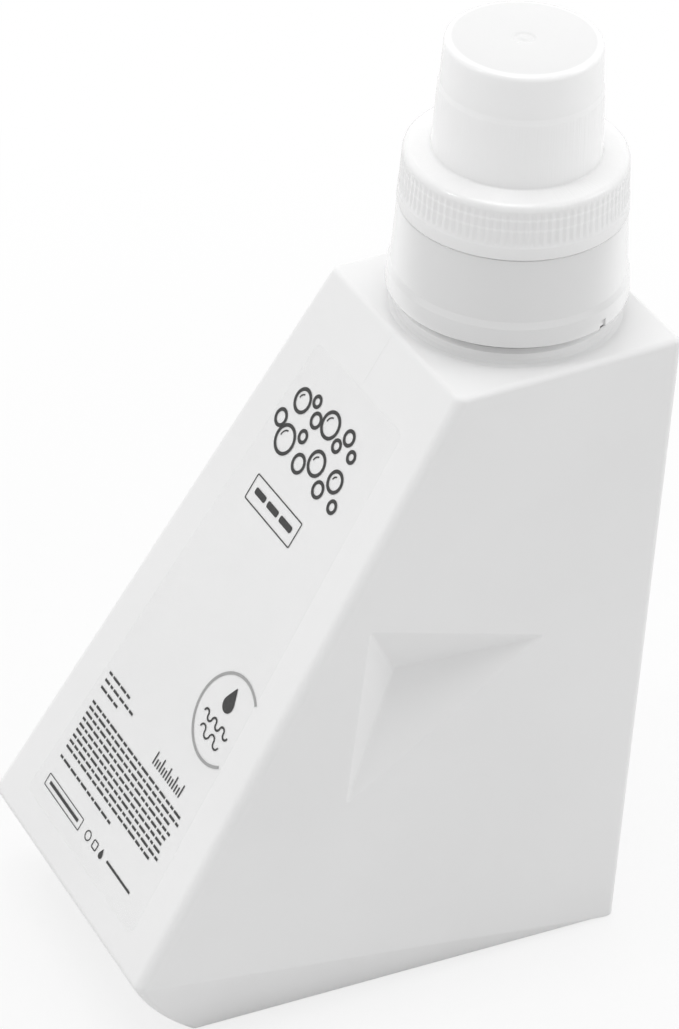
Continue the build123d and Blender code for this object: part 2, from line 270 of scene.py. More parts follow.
@dataclass(frozen=True)
class Plastic:
    """A moulded plastic with slight changes of tone and gloss, and a fine mould texture.

    Args:
        shade: Linear level of the colour.
        mottle: How far the shade drifts over the surface.
        gloss: Lowest and highest roughness.
        grain: Grains of the mould texture per metre.
        grain_depth: Height of the grains, in metres.
        wave: Depth of the slow ripple that cooling leaves, in metres.
        scatter: Share of the light that scatters below the surface.
        coat: Weight of a clear gloss on top.
        coat_rough: Roughness of that gloss.
        index: Index of refraction.
        drift_scale: Patches of changing shade per metre.
        cloud_scale: Patches of changing gloss per metre.
        wave_scale: Ripples per metre.
        reach: How far light scatters below the surface, in metres.
    """

    shade: float
    mottle: float = 0.01
    gloss: tuple[float, float] = (0.42, 0.5)
    grain: float = 2500.0
    grain_depth: float = 0.000006
    wave: float = 0.00003
    scatter: float = 0.0
    coat: float = 0.0
    coat_rough: float = 0.08
    index: float = 1.5
    drift_scale: float = 22.0
    cloud_scale: float = 9.0
    wave_scale: float = 35.0
    reach: float = 0.0015

    def make(self, name: str, extra: Optional[Extra] = None,
             zones: Sequence[tuple[Extra, float]] = ()) -> bpy.types.Material:
        """Builds the material.

        Args:
            name: The material's name.
            extra: Gives one more height, in metres, for the bump.
            zones: Places with painted shade or painted light: a share from 0 to 1, and the shade painted
                there.

        Returns:
            The material.
        """
        material, shader = new_material(name)
        drift = shader.noise(self.drift_scale, 3.0).ramp(0.3, 0.7)
        colour = shader.blend(drift, grey(self.shade - self.mottle), grey(self.shade + self.mottle))
        # Painted shade and painted light, zone by zone, over the plastic's own tone.
        for share, shade in zones:
            colour = shader.blend(share(shader), colour, grey(shade))
        rough = shader.noise(self.cloud_scale, 1.0).ramp(0.3, 0.7, *self.gloss)
        height = shader.noise(self.grain, 1.0) * self.grain_depth
        height = height + shader.noise(self.wave_scale, 0.0) * self.wave
        if extra:
            height = height + extra(shader)
        sockets = {
            "Base Color": colour, "Roughness": rough, "IOR": self.index, "Normal": shader.bump(height),
            "Coat Weight": self.coat, "Coat Roughness": self.coat_rough,
            "Subsurface Weight": self.scatter, "Subsurface Radius": (1.0, 1.0, 1.0),
            "Subsurface Scale": self.reach,
        }
        surface = shader.node("ShaderNodeBsdfPrincipled", {}, sockets)
        shader.finish("ShaderNodeOutputMaterial", surface)
        return material


@dataclass(frozen=True)
class ClearFilm:
    """Clear glossy film, hardly darker than what it lies on.

    Args:
        veil: Share of the film's own tone over the plastic below.
        shade: Linear level of the film's tone.
        drift: How far that tone drifts.
        rough: Roughness of the gloss.
        ripple: Ripples per metre.
        ripple_depth: Depth of a ripple, in metres.
    """

    veil: float = 0.025
    shade: float = 0.84
    drift: float = 0.02
    rough: float = 0.22
    ripple: float = 60.0
    ripple_depth: float = 0.000008

    def make(self, name: str) -> bpy.types.Material:
        """Builds the material.

        Args:
            name: The material's name.

        Returns:
            The material.
        """
        material, shader = new_material(name)
        ripples = shader.noise(self.ripple, 1.0)
        alpha = ripples.ramp(0.3, 0.7, self.veil * 0.8, self.veil * 1.2)
        dark, light = grey(self.shade - self.drift), grey(self.shade + self.drift)
        tone = shader.blend(shader.noise(18.0, 2.0), dark, light)
        normal = shader.bump(ripples * self.ripple_depth)
        sockets = {"Base Color": tone, "Roughness": self.rough, "Alpha": alpha, "Normal": normal}
        shader.finish("ShaderNodeOutputMaterial", shader.node("ShaderNodeBsdfPrincipled", {}, sockets))
        return material


@dataclass(frozen=True)
class Ink:
    """Matt print with slightly uneven cover.

    Args:
        full: Linear level of full cover.
        thin: Linear level where the cover is thin.
        rough: Roughness of the ink.
        specks: Thin spots per metre.
    """

    full: float
    thin: float
    rough: float = 0.5
    specks: float = 2600.0

    def make(self, name: str) -> bpy.types.Material:
        """Builds the material.

        Args:
            name: The material's name.

        Returns:
            The material.
        """
        material, shader = new_material(name)
        cover = shader.noise(self.specks, 2.0).ramp(0.35, 0.75)
        colour = shader.blend(cover, grey(self.full), grey(self.thin))
        sockets = {"Base Color": colour, "Roughness": self.rough}
        shader.finish("ShaderNodeOutputMaterial", shader.node("ShaderNodeBsdfPrincipled", {}, sockets))
        return material


def dress(node: str, material: bpy.types.Material) -> None:
    """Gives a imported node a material.

    Args:
        node: The node's name.
        material: Its material.
    """
    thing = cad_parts[node]
    thing.data.materials.clear()
    thing.data.materials.append(material)


def finished(name: str, form: BMesh, material: bpy.types.Material,
             body: Body) -> bpy.types.Object:
    """Makes an object of a mesh in millimetres, dresses it and lets it ride on a body.

    Args:
        name: The object's name.
        form: The mesh, freed here.
        material: Its material.
        body: The body that it moves with.

    Returns:
        The object.
    """
    bmesh.ops.scale(form, vec=(MM, MM, MM), verts=form.verts)
    mesh = bpy.data.meshes.new(name)
    form.to_mesh(mesh)
    form.free()
    mesh.materials.append(material)
    thing = bpy.data.objects.new(name, mesh)
    bpy.context.scene.collection.objects.link(thing)
    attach(thing, body.value)
    log.info("%s: %d faces", name, len(mesh.polygons))
    return thing


def wire(form: BMesh, corners: Sequence[Corner], closed: bool, segments: int = 3) -> None:
    """Draws an outline in the XZ plane, with rounded corners.

    Args:
        form: The mesh that it is added to.
        corners: Across, height and, where the corner is rounded, its radius.
        closed: Whether the outline runs back to its first corner.
        segments: Edges in a rounded corner.
    """
    verts = [form.verts.new((corner[0], 0.0, corner[1])) for corner in corners]
    pairs = list(zip(verts, verts[1:]))
    if closed:
        pairs.append((verts[-1], verts[0]))
    for pair in pairs:
        form.edges.new(pair)
    for vert, corner in zip(verts, corners):
        if len(corner) > 2:
            one, other = (edge.other_vert(vert).co - vert.co for edge in vert.link_edges)
            offset = corner[2] / math.tan(one.angle(other) / 2)
            bmesh.ops.bevel(
                form, geom=[vert], offset=offset, offset_type="OFFSET", affect="VERTICES",
                segments=segments, profile=0.5, material=-1,
            )


def smooth(form: BMesh) -> None:
    """Points the faces outwards and shades them smooth, with sharp edges where they turn hard."""
    bmesh.ops.recalc_face_normals(form, faces=form.faces)
    for face in form.faces:
        face.smooth = True
    for edge in form.edges:
        edge.smooth = not (edge.is_manifold and edge.calc_face_angle() > SHARP_FROM)


def turned(corners: Sequence[Corner], closed: bool, steps: int = 180) -> BMesh:
    """Turns an outline about Z.

    Args:
        corners: Radius, height and, where the corner is rounded, its rounding.
        closed: Whether the outline is a ring. One that isn't starts and ends on the axis.
        steps: Faces around.

    Returns:
        The mesh, drawn about Z.
    """
    form = bmesh.new()
    wire(form, corners, closed)
    bmesh.ops.spin(
        form, geom=form.verts[:] + form.edges[:], cent=(0, 0, 0), axis=(0, 0, 1), dvec=(0, 0, 0),
        angle=math.tau, steps=steps, use_merge=True,
    )
    bmesh.ops.remove_doubles(form, verts=form.verts, dist=MERGE)
    return form


def to_axis(form: BMesh, axis_y: float) -> BMesh:
    """Moves a mesh that is drawn about Z to the neck's axis."""
    bmesh.ops.translate(form, vec=(0.0, axis_y, 0.0), verts=form.verts)
    return form


def eased(value: float) -> float:
    """A soft step from 0 to 1."""
    value = min(1.0, max(0.0, value))
    return value * value * (3.0 - 2.0 * value)


@dataclass
class Thread:
    """A raised screw thread with tapered ends, on the outside of a cylinder.

    Args:
        root: Radius that it stands on.
        crest: Radius of its top.
        start: Height of its lower end.
        pitch: Rise in a turn.
        turns: Number of turns.
        start_turn: Where it starts, in degrees.
        width: Width at the root.
        steps: Faces in a turn.
        taper: Steps over which an end rises.
        sunk: How far its inner side lies below the root.
        ends_sunk: How far its crest sinks at an end.
    """

    root: float
    crest: float
    start: float
    pitch: float
    turns: float
    start_turn: float = 0.0
    width: float = 1.9
    steps: int = 72
    taper: int = 9
    sunk: float = 0.3
    ends_sunk: float = 0.1

    def build(self, axis_y: float) -> BMesh:
        """Winds the thread's section up the cylinder.

        Args:
            axis_y: Where the neck's axis stands.

        Returns:
            The mesh.
        """
        form = bmesh.new()
        half, top, sunk = self.width / 2, self.width / 5, self.root - self.sunk
        section = [(sunk, -half), (self.root, -half), (self.crest, -top, 0.15), (self.crest, top, 0.15),
                   (self.root, half), (sunk, half)]
        wire(form, section, True, 2)
        count = len(form.verts)
        steps = round(self.steps * self.turns)
        bmesh.ops.spin(
            form, geom=form.verts[:] + form.edges[:], cent=(0, 0, 0), axis=(0, 0, 1),
            dvec=(0, 0, self.pitch / self.steps), angle=math.tau * self.turns, steps=steps,
        )
        form.verts.ensure_lookup_table()
        for number, vert in enumerate(form.verts):
            step = number // count
            share = eased(min(step, steps - step) / self.taper)
            radius = vert.co.xy.length
            if radius > self.root:
                low = self.root - self.ends_sunk
                vert.co.xy *= (low + (radius - low) * share) / radius
        bmesh.ops.holes_fill(form, edges=[edge for edge in form.edges if edge.is_boundary])
        smooth(form)
        turn = Matrix.Rotation(math.radians(self.start_turn), 3, "Z")
        bmesh.ops.rotate(form, cent=(0, 0, 0), matrix=turn, verts=form.verts)
        bmesh.ops.translate(form, vec=(0, axis_y, self.start), verts=form.verts)
        return form


@dataclass
class Bottle:
    """The blow-moulded bottle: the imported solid, with its neck thread and parting line.

    Args:
        plastic: Its finish.
        thread: The neck's thread.
        edge_round: Rounding of the front face's top edge.
        ridge: Half width and height of the parting line.
        ridge_sunk: How far the line's sides lie below the surface.
        ridge_top: Where the line leaves the neck's boss, as a distance from the axis.
        ridge_run: How far it runs down the front face.
        ridge_core: How far below the top face lies the point that the line is raised away from.
    """

    plastic: Plastic = Plastic(0.862, scatter=0.05)
    thread: Thread = field(default_factory=lambda: Thread(NECK_RADIUS, 22.35, 157.6, 4.2, 1.9, 200.0))
    edge_round: float = 2.4
    ridge: tuple[float, float] = (0.28, 0.07)
    ridge_sunk: float = 0.04
    ridge_top: float = 24.6
    ridge_run: float = 13.0
    ridge_core: float = 12.0

    def parting_line(self, axis_y: float) -> BMesh:
        """The fine seam of the blow mould over the front edge of the top face.

        Args:
            axis_y: Where the neck's axis stands.

        Returns:
            The mesh.
        """
        lean = math.radians(FACE_SLOPE)
        run = self.ridge_run
        end = (-FACE_FRONT - run * math.sin(lean), TOP_FACE - run * math.cos(lean))
        path = [(-self.ridge_top, TOP_FACE), (-FACE_FRONT, TOP_FACE, self.edge_round), end]
        form = bmesh.new()
        wire(form, path, False, 8)
        half, rise = self.ridge
        core = Vector((-self.ridge_top, 0.0, TOP_FACE - self.ridge_core))
        spine, spine_edges = form.verts[:], form.edges[:]
        for side in (-1.0, 1.0):
            made = bmesh.ops.extrude_edge_only(form, edges=spine_edges)
            moved = [item for item in made["geom"] if isinstance(item, BMVert)]
            bmesh.ops.translate(form, vec=(0.0, side * half, 0.0), verts=moved)
        for vert in form.verts:
            out = vert.co - core
            out.y = 0.0
            vert.co += out.normalized() * (rise if vert in spine else -self.ridge_sunk)
        smooth(form)
        turn = Matrix.Rotation(math.radians(90.0), 3, "Z")
        bmesh.ops.rotate(form, cent=(0, 0, 0), matrix=turn, verts=form.verts)
        return to_axis(form, axis_y)

    def build(self, axis_y: float) -> None:
        """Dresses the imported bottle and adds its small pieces.

        Args:
            axis_y: Where the neck's axis stands.
        """
        white = self.plastic.make("white_polyethylene")
        dress("bottle", white)
        finished("neck_thread", self.thread.build(axis_y), white, Body.BOTTLE)
        finished("parting_line", self.parting_line(axis_y), white, Body.BOTTLE)


@dataclass
class Collar:
    """The pouring collar: ring, band, lip for the cap, plug ring, drain floor and spout.

    Args:
        plastic: Its finish.
        notch_turn: Where the notch in the ring lies, in degrees from +X.
        notch: The notch's width and depth, and the height of its top.
        notch_from: Least distance from the axis of the faces that the notch is cut into.
        slot_turn: Half of the spout's slot, in degrees.
        slant: Angle of the spout's cut end from the horizontal.
        foot_radius: Radius of the spout's foot.
        tip_radius: Radius of the spout's tip.
        spout_foot: Height of the spout's foot, inside the drain floor.
        steps: Faces around the collar and around the spout.
        thread: The lip's thread.
    """

    plastic: Plastic = Plastic(0.78, gloss=(0.12, 0.18), coat=0.6)
    notch_turn: float = 20.0
    notch: tuple[float, float, float] = (1.2, 0.5, 157.5)
    notch_from: float = 24.9
    slot_turn: float = 15.1
    slant: float = 48.0
    foot_radius: float = 9.6
    tip_radius: float = 9.0
    spout_foot: float = 174.8
    steps: tuple[int, int] = (180, 96)
    thread: Thread = field(default_factory=lambda: Thread(LIP_RADIUS, 22.1, 180.3, 3.6, 1.15, 250.0, 1.6))

    def flank_painted_sheen(self, shader: Shader) -> Value:
        """The flanks, where the wall is seen on edge; the lighter colour there is painted sheen."""
        return shader.flanks(0.75)

    def outline(self) -> list[Corner]:
        """The section of all but the spout, from the ring's lower inner corner."""
        relief, lip_bore = 23.65, 20.0
        plug_bore, plug_radius, plug_foot = 18.4, 19.6, 170.0
        ring = [(relief, RING_FOOT, 0.2), (26.1, RING_FOOT, 0.5), (25.98, self.notch[2]),
                (25.85, RING_TOP, 0.5)]
        band = [(25.2, 161.2, 0.4), (24.35, BAND_TOP, 0.3), (LIP_RADIUS, BAND_TOP, 0.3)]
        lip = [(LIP_RADIUS, LIP_TOP, 0.3), (lip_bore, LIP_TOP, 0.3), (lip_bore, 177.8, 0.8)]
        deck = [(SPOUT_BORE, BAND_TOP), (SPOUT_BORE, NECK_TOP), (plug_bore, NECK_TOP, 0.3)]
        plug = [(plug_bore, plug_foot, 0.2), (plug_radius, plug_foot, 0.5), (plug_radius, NECK_TOP, 0.2)]
        inside = [(COLLAR_BORE, NECK_TOP, 0.3), (COLLAR_BORE, RING_TOP), (relief, 158.8)]
        return ring + band + lip + deck + plug + inside

    def cut_notch(self, form: BMesh) -> None:
        """Sinks the small notch into the lower edge of the ring."""
        width, depth, top = self.notch
        turn = math.radians(self.notch_turn)
        middle = Vector((math.cos(turn), math.sin(turn)))
        chosen = []
        for face in form.faces:
            spot = face.calc_center_median()
            aside = abs(spot.xy.cross(middle))
            if spot.xy.dot(middle) > self.notch_from and aside < width / 2 and spot.z < top:
                chosen.append(face)
        made = bmesh.ops.extrude_face_region(form, geom=chosen)["geom"]
        moved = [item for item in made if isinstance(item, BMVert)]
        bmesh.ops.delete(form, geom=chosen, context="FACES")
        bmesh.ops.translate(form, vec=(-middle.x * depth, -middle.y * depth, 0.0), verts=moved)

    def spout(self) -> BMesh:
        """The slotted spout with its slanting end."""
        form = bmesh.new()
        foot = [(SPOUT_BORE, self.spout_foot), (self.foot_radius, self.spout_foot)]
        wire(form, foot + [(self.tip_radius, SPOUT_TIP), (SPOUT_BORE, SPOUT_TIP)], True)
        bmesh.ops.subdivide_edges(form, edges=form.edges[:], cuts=1)
        start = Matrix.Rotation(math.radians(90.0 + self.slot_turn), 3, "Z")
        bmesh.ops.rotate(form, cent=(0, 0, 0), matrix=start, verts=form.verts)
        bmesh.ops.spin(
            form, geom=form.verts[:] + form.edges[:], cent=(0, 0, 0), axis=(0, 0, 1), dvec=(0, 0, 0),
            angle=math.tau - 2 * math.radians(self.slot_turn), steps=self.steps[1],
        )
        bmesh.ops.holes_fill(form, edges=[edge for edge in form.edges if edge.is_boundary])
        bmesh.ops.recalc_face_normals(form, faces=form.faces)
        lean = math.radians(self.slant)
        bmesh.ops.bisect_plane(
            form, geom=form.verts[:] + form.edges[:] + form.faces[:], dist=MERGE,
            plane_co=(0.0, -self.tip_radius, SPOUT_TIP), plane_no=(0.0, math.sin(lean), math.cos(lean)),
            clear_outer=True,
        )
        bmesh.ops.holes_fill(form, edges=[edge for edge in form.edges if edge.is_boundary])
        return form

    def build(self, axis_y: float) -> None:
        """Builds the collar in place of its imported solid.

        Args:
            axis_y: Where the neck's axis stands.
        """
        # The collar's flanks get a painted sheen: a lighter colour where the wall is seen on edge.
        milky = self.plastic.make("milky_gloss", None, ((self.flank_painted_sheen, 0.97),))
        form = turned(self.outline(), True, self.steps[0])
        self.cut_notch(form)
        smooth(form)
        shell = finished("collar_shell", to_axis(form, axis_y), milky, Body.COLLAR)
        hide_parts("pouring_collar")
        form = self.spout()
        smooth(form)
        finished("collar_spout", to_axis(form, axis_y), milky, Body.COLLAR)
        finished("lip_thread", self.thread.build(axis_y), milky, Body.COLLAR)


@dataclass
class Cap:
    """The measuring cap: cup, ledge, seal ring and knurled skirt with a bead.

    Args:
        plastic: Its finish.
        ribs: Ribs around the skirt.
        rib_steps: Faces in a rib.
        rib_depth: Depth of the grooves between the ribs.
        grip: Lower and upper end of the ribs.
        grip_rows: Rows of faces along a rib.
        grip_from: Least radius of what the ribs are pressed into.
        fade: Height over which they fade out.
        streak_depth: Depth of the upright streaks, in metres.
        shades: Linear levels of the painted sheen on the flanks, the painted shade on the crown and on the
            skirt, and the painted light lines of the collar's lip.
        axis_y: Where the neck's axis stands.
    """

    plastic: Plastic = Plastic(0.97, 0.006, (0.2, 0.26), wave=0.00002, scatter=0.1, coat=0.5, index=1.45)
    ribs: int = 92
    rib_steps: int = 6
    rib_depth: float = 0.22
    grip: tuple[float, float] = (178.9, 186.7)
    grip_rows: int = 16
    grip_from: float = 23.0
    fade: float = 0.9
    streak_depth: float = 0.00006
    # Painted light and shade: sheen on the flanks, shade on the crown and the skirt, light lines over the
    # collar's lip.
    shades: tuple[float, float, float, float] = (0.985, 0.785, 0.89, 0.95)
    axis_y: float = 0.0

    def outline(self) -> list[Corner]:
        """The whole section, from the nub of the moulding gate to the middle of the crown's underside."""
        nub_top, dimple, ceiling = 213.88, 213.82, 212.8
        skirt_bore, seal_radius, seal_bore, seal_foot = 22.45, 19.9, 18.8, 183.4
        skirt_low, skirt_high, skirt_from = 24.35, 23.75, 175.9
        nub = [(0.0, nub_top), (0.6, nub_top), (0.75, dimple), (1.9, dimple, 0.6), (2.5, CROWN_TOP, 0.6)]
        cup = [(16.4, CROWN_TOP, 1.3), (16.93, 204.4, 1.2), (17.24, 203.2, 1.2), (17.95, 188.7, 0.5)]
        ledge = [(skirt_high, LEDGE_TOP, 1.5)]
        low, high = self.grip
        rows = [high - (high - low) * row / self.grip_rows for row in range(self.grip_rows + 1)]
        slope = (skirt_low - skirt_high) / (LEDGE_TOP - skirt_from)
        skirt = [(skirt_low - slope * (row - skirt_from), row) for row in rows]
        bead = [(24.37, 178.55, 0.12), (24.5, SKIRT_FOOT, 0.3), (skirt_bore, SKIRT_FOOT)]
        seal = [(seal_radius, LIP_TOP), (seal_radius, seal_foot, 0.5), (seal_bore, seal_foot)]
        inside = [(seal_bore, LIP_TOP), (16.75, LIP_TOP), (15.2, ceiling, 0.7), (0.0, ceiling)]
        return nub + cup + ledge + skirt + bead + [(skirt_bore, LIP_TOP)] + seal + inside

    def knurl(self, form: BMesh) -> None:
        """Presses the grooves between the ribs into the skirt."""
        low, high = self.grip
        for vert in form.verts:
            radius = vert.co.xy.length
            if radius > self.grip_from and low < vert.co.z < high:
                fade = eased((vert.co.z - low) / self.fade) * eased((high - vert.co.z) / self.fade)
                wave = 0.5 - 0.5 * math.cos(self.ribs * math.atan2(vert.co.y, vert.co.x))
                vert.co.xy *= (radius - self.rib_depth * wave * fade) / radius

    def flow_marks(self, shader: Shader) -> Value:
        """Fine upright streaks on the cup below its step, and on the skirt."""
        x, y, z = shader.place()
        turn = (y - self.axis_y * MM).turn_from(x)
        point = shader.node("ShaderNodeCombineXYZ", {}, {0: turn * 3.0, 1: z * 2.0})
        streaks = shader.noise(16.0, 2.0, point)
        low = z.ramp(0.2025, 0.2037, 1.0, 0.0)
        return streaks * low * self.streak_depth

    def crown_painted_shade(self, shader: Shader) -> Value:
        """The flat of the crown, where a darker colour is painted shade."""
        x, y, z = shader.place()
        aside = y - self.axis_y * MM
        return (x * x + aside * aside).root().ramp(0.0146, 0.0156, 1.0, 0.0) * z.ramp(0.2132, 0.2136)

    def skirt_painted_shade(self, shader: Shader) -> Value:
        """Ledge and skirt, where a darker colour is painted shade."""
        return shader.place()[2].ramp(0.1887, 0.1894, 1.0, 0.0)

    def flank_painted_sheen(self, shader: Shader) -> Value:
        """The flanks, where the wall is seen on edge; the lighter colour there is painted sheen."""
        return shader.flanks(0.85)

    def lip_painted_light(self, shader: Shader) -> Value:
        """Painted light: light lines where the collar's lip and its thread would show through the skirt."""
        height = shader.place()[2]
        upper = height.ramp(0.1843, 0.1849) * height.ramp(0.1849, 0.1853, 1.0, 0.0)
        lower = height.ramp(0.1819, 0.1825) * height.ramp(0.1825, 0.1829, 1.0, 0.0)
        return upper.larger(lower * 0.7)

    def build(self, axis_y: float) -> None:
        """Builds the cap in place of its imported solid.

        Args:
            axis_y: Where the neck's axis stands.
        """
        self.axis_y = axis_y
        # Painted light and shade by zone: sheen on the flanks, shade on the crown and the skirt, light lines
        # over the collar's lip.
        painted_masks = (self.flank_painted_sheen, self.crown_painted_shade, self.skirt_painted_shade, self.lip_painted_light)
        clear = self.plastic.make("milky_cap", self.flow_marks, tuple(zip(painted_masks, self.shades)))
        form = turned(self.outline(), False, self.ribs * self.rib_steps)
        self.knurl(form)
        smooth(form)
        shell = finished("cap_shell", to_axis(form, axis_y), clear, Body.CAP)
        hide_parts("measuring_cap")


@dataclass
class Sheet:
    """Flat shapes on the front face, in millimetres across from its middle and down from its top edge."""

    form: BMesh = field(default_factory=bmesh.new)

    def bar(self, left: float, top: float, right: float, bottom: float, rounding: float = 0.0) -> None:
        """Adds a filled rectangle.

        Args:
            left: Its left end.
            top: Its upper edge.
            right: Its right end.
            bottom: Its lower edge.
            rounding: Radius of its corners.
        """
        verts = bmesh.ops.create_grid(self.form, x_segments=1, y_segments=1, size=0.5)["verts"]
        bmesh.ops.scale(self.form, vec=(right - left, bottom - top, 1.0), verts=verts)
        bmesh.ops.translate(self.form, vec=((left + right) / 2, -(top + bottom) / 2, 0.0), verts=verts)
        if rounding:
            bmesh.ops.bevel(
                self.form, geom=verts, offset=rounding, offset_type="OFFSET", affect="VERTICES",
                segments=3, profile=0.5, material=-1,
            )

    def outline(self, left: float, top: float, right: float, bottom: float, stroke: float) -> None:
        """Adds a rectangle's outline.

        Args:
            left: Its left end.
            top: Its upper edge.
            right: Its right end.
            bottom: Its lower edge.
            stroke: Width of the line.
        """
        known = set(self.form.faces)
        self.bar(left, top, right, bottom, stroke * 1.5)
        middle = [face for face in self.form.faces if face not in known]
        bmesh.ops.inset_region(
            self.form, faces=middle, thickness=stroke, use_even_offset=True, use_boundary=True,
        )
        bmesh.ops.delete(self.form, geom=middle, context="FACES")

    def arc(self, across: float, down: float, radius: float, stroke: float,
            start: float = 0.0, turn: float = 360.0) -> None:
        """Adds a ring or a part of one.

        Args:
            across: Its centre.
            down: Its centre.
            radius: Middle of the line.
            stroke: Width of the line.
            start: Where it starts, in degrees from the right, turning up.
            turn: How far it runs.
        """
        ends = [self.form.verts.new((radius + side * stroke / 2, 0.0, 0.0)) for side in (-1.0, 1.0)]
        edge = self.form.edges.new(ends)
        place = Matrix.Rotation(math.radians(start), 3, "Z")
        bmesh.ops.rotate(self.form, cent=(0, 0, 0), matrix=place, verts=ends)
        bmesh.ops.translate(self.form, vec=(across, -down, 0.0), verts=ends)
        steps = max(4, round(turn * (0.06 + 0.012 * radius)))
        bmesh.ops.spin(
            self.form, geom=ends + [edge], cent=(across, -down, 0.0), axis=(0, 0, 1), dvec=(0, 0, 0),
            angle=math.radians(turn), steps=steps, use_merge=turn >= 360.0,
        )

    def disc(self, across: float, down: float, radius: float, peak: float = 0.0) -> None:
        """Adds a disc or, with a peak, a drop.

        Args:
            across: Its centre.
            down: Its centre.
            radius: Its radius.
            peak: How far its top is drawn out.
        """
        verts = bmesh.ops.create_circle(self.form, cap_ends=True, segments=28, radius=radius)["verts"]
        for vert in verts:
            rise = max(0.0, vert.co.y / radius)
            vert.co.x *= 1.0 - 0.55 * rise ** 3 if peak else 1.0
            vert.co.y += peak * rise ** 3
        bmesh.ops.translate(self.form, vec=(across, -down, 0.0), verts=verts)

    def wave(self, left: float, right: float, down: float, crests: int, stroke: float) -> None:
        """Adds a wavy line of half rings.

        Args:
            left: Its left end.
            right: Its right end.
            down: Its middle.
            crests: Number of crests, each with its trough.
            stroke: Width of the line.
        """
        radius = (right - left) / crests / 4
        for number in range(2 * crests):
            start = 0.0 if number % 2 == 0 else 180.0
            self.arc(left + radius * (2 * number + 1), down, radius, stroke, start, 180.0)

    def laid(self, plane: Matrix, lift: float) -> BMesh:
        """Lays the shapes on the front face.

        Args:
            plane: The face's place, with its axes across, up and out.
            lift: Distance from the face.

        Returns:
            The mesh.
        """
        bmesh.ops.remove_doubles(self.form, verts=self.form.verts, dist=MERGE)
        self.form.normal_update()
        turned_in = [face for face in self.form.faces if face.normal.z < 0.0]
        bmesh.ops.reverse_faces(self.form, faces=turned_in)
        bmesh.ops.translate(self.form, vec=(0.0, 0.0, lift), verts=self.form.verts)
        bmesh.ops.transform(self.form, matrix=plane, verts=self.form.verts)
        return self.form


